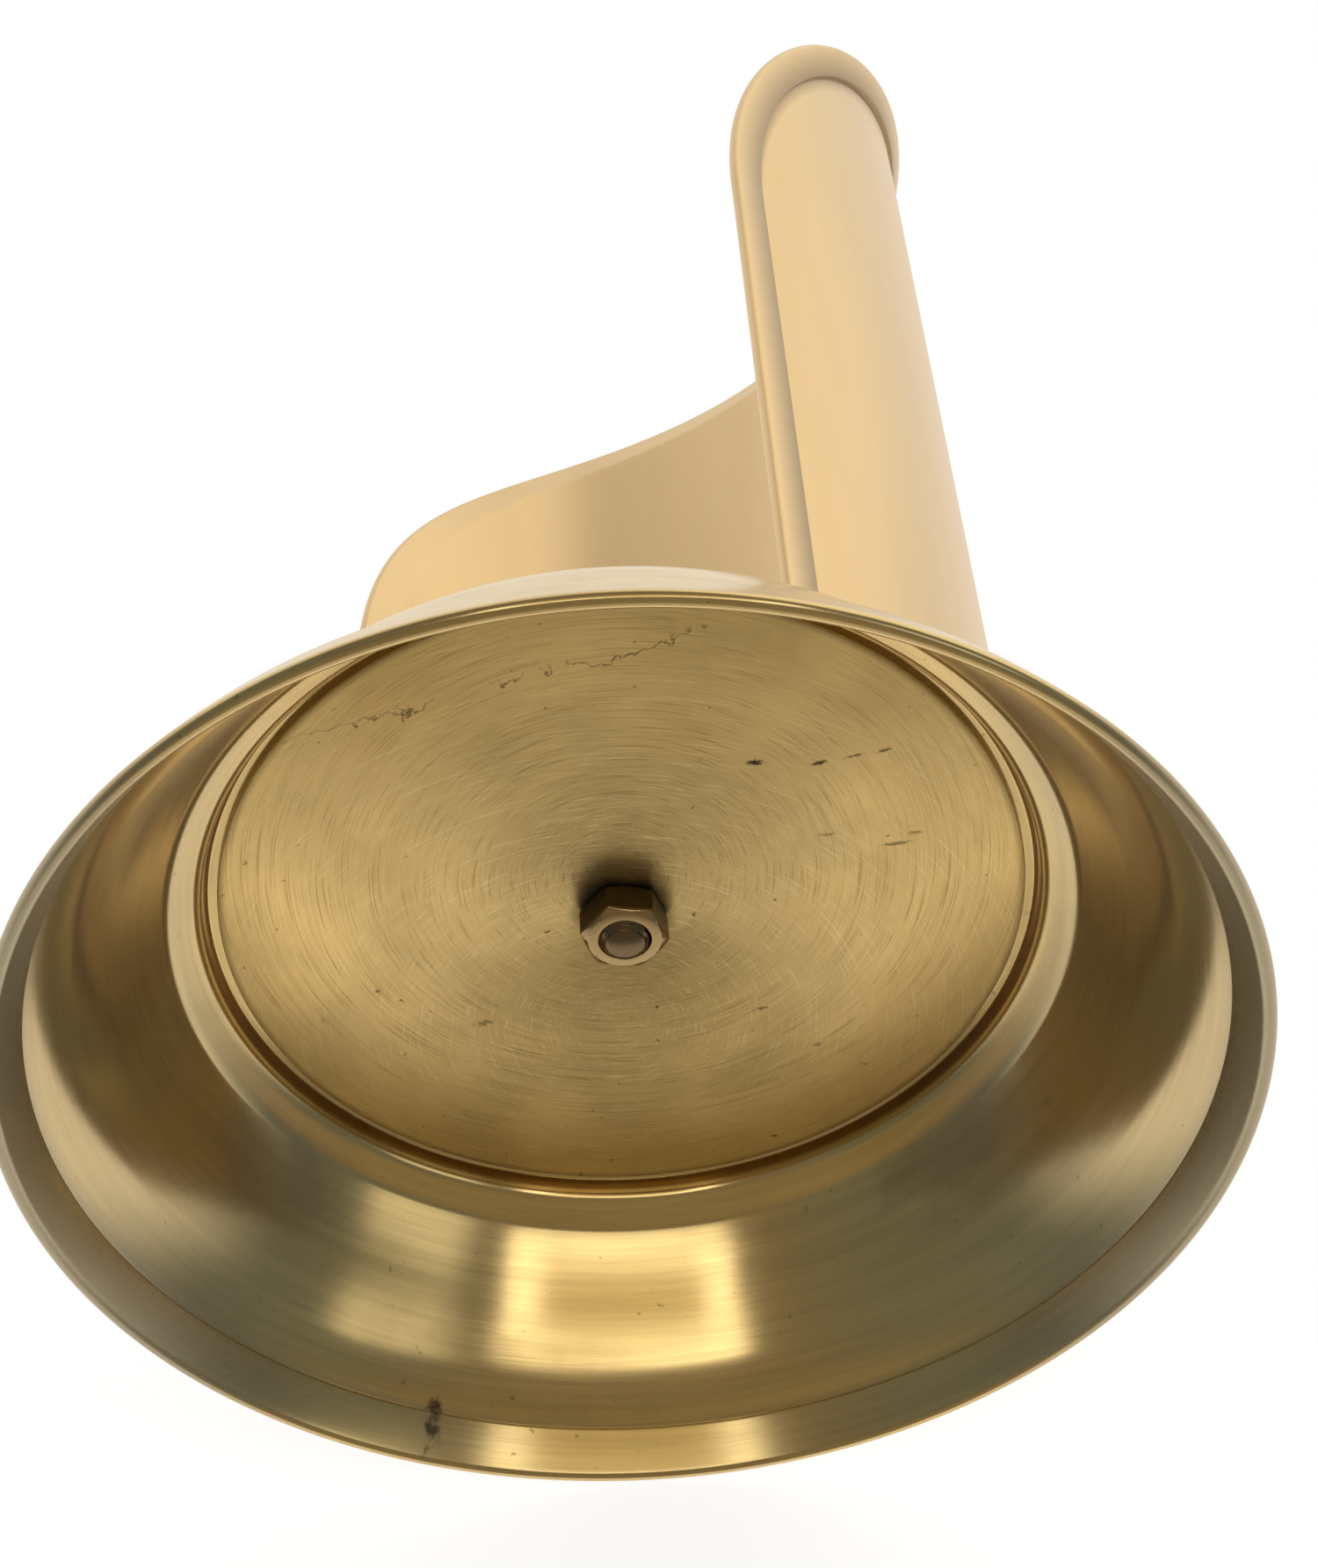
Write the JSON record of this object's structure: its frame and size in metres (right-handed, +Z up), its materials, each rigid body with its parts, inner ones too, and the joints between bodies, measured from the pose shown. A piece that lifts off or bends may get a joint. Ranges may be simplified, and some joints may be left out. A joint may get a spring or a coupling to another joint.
{
  "type": "flag pole stand",
  "caption": "Round spun brass stand with a curved arch-topped shield and a clamped central socket that holds a pole upright.",
  "frame": {"origin": "centre of the base, on the table, at the middle of the overall box's foot", "axes": "+Z up along the pole, +Y towards the shield's back, -Y out through the open front"},
  "size_m": [0.2, 0.2, 0.28],
  "materials": {
    "spun_brass": "brushed, spun on a lathe",
    "disc_brass": "coarse turned",
    "sheet_brass": "satin",
    "turned_brass": "fine turned",
    "nut_brass": "tarnished",
    "stud_brass": "machined",
    "felt": "pressed felt"
  },
  "bodies": {
    "stand": {"base_shell": "spun_brass", "backing_disc": "disc_brass", "hex_nut": "nut_brass", "stud": "stud_brass", "shield": "sheet_brass", "shield_floor": "sheet_brass", "socket_foot": "turned_brass", "socket_tube": "turned_brass", "socket_collar": "turned_brass", "pole_felt": "felt", "clamp_boss": "turned_brass"},
    "pad": {"pressure_pad": "stud_brass"},
    "screw": {"thumb_screw": "turned_brass"}
  },
  "joints": [
    {"name": "screw_feed", "type": "slide", "parent": "stand", "child": "pad", "axis": [0, 1, 0], "range_m": [0, 0.005]},
    {"name": "screw_turn", "type": "hinge", "parent": "pad", "child": "screw", "pos_m": [0, -0.03, 0.07], "axis": [0, 1, 0], "range_deg": [0, 1800]}
  ],
  "couplings": [
    {"joint": "screw_turn", "follows": "screw_feed", "rad_per_m": 6283.2}
  ]
}
